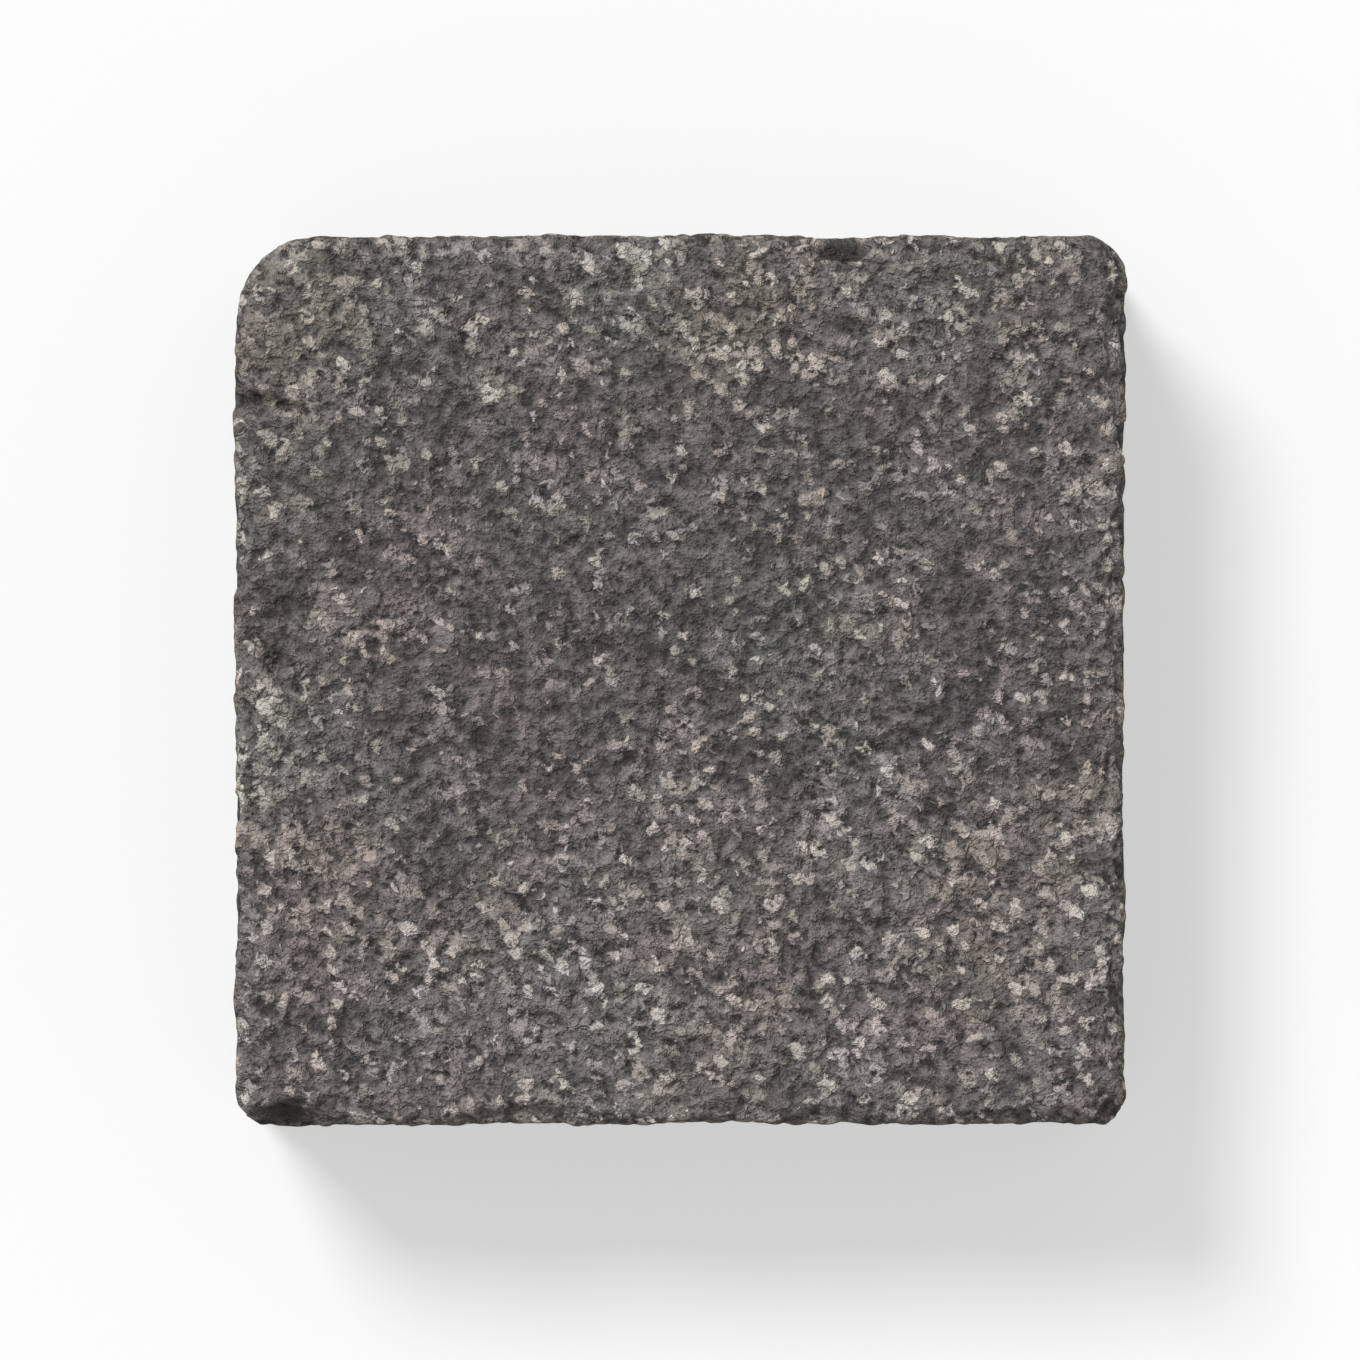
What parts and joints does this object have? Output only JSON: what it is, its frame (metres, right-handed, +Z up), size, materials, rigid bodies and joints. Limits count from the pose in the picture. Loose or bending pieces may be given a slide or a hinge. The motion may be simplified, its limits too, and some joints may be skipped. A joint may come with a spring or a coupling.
{
  "type": "tumbled concrete paver",
  "caption": "Square dark grey concrete paver with tumbled, chipped edges and rounded corners, laid flat beside others to pave a path, drive or terrace.",
  "frame": {"origin": "middle of the bed, the flat face that the paver lies on", "axes": "+Z up through the thickness to the wearing face, +X along the face's length, +Y across its width, with the most rounded upright corner at -X +Y"},
  "size_m": [0.198, 0.198, 0.06],
  "materials": {
    "concrete": "matte"
  },
  "bodies": {
    "root": {"paver": "concrete"}
  },
  "joints": []
}
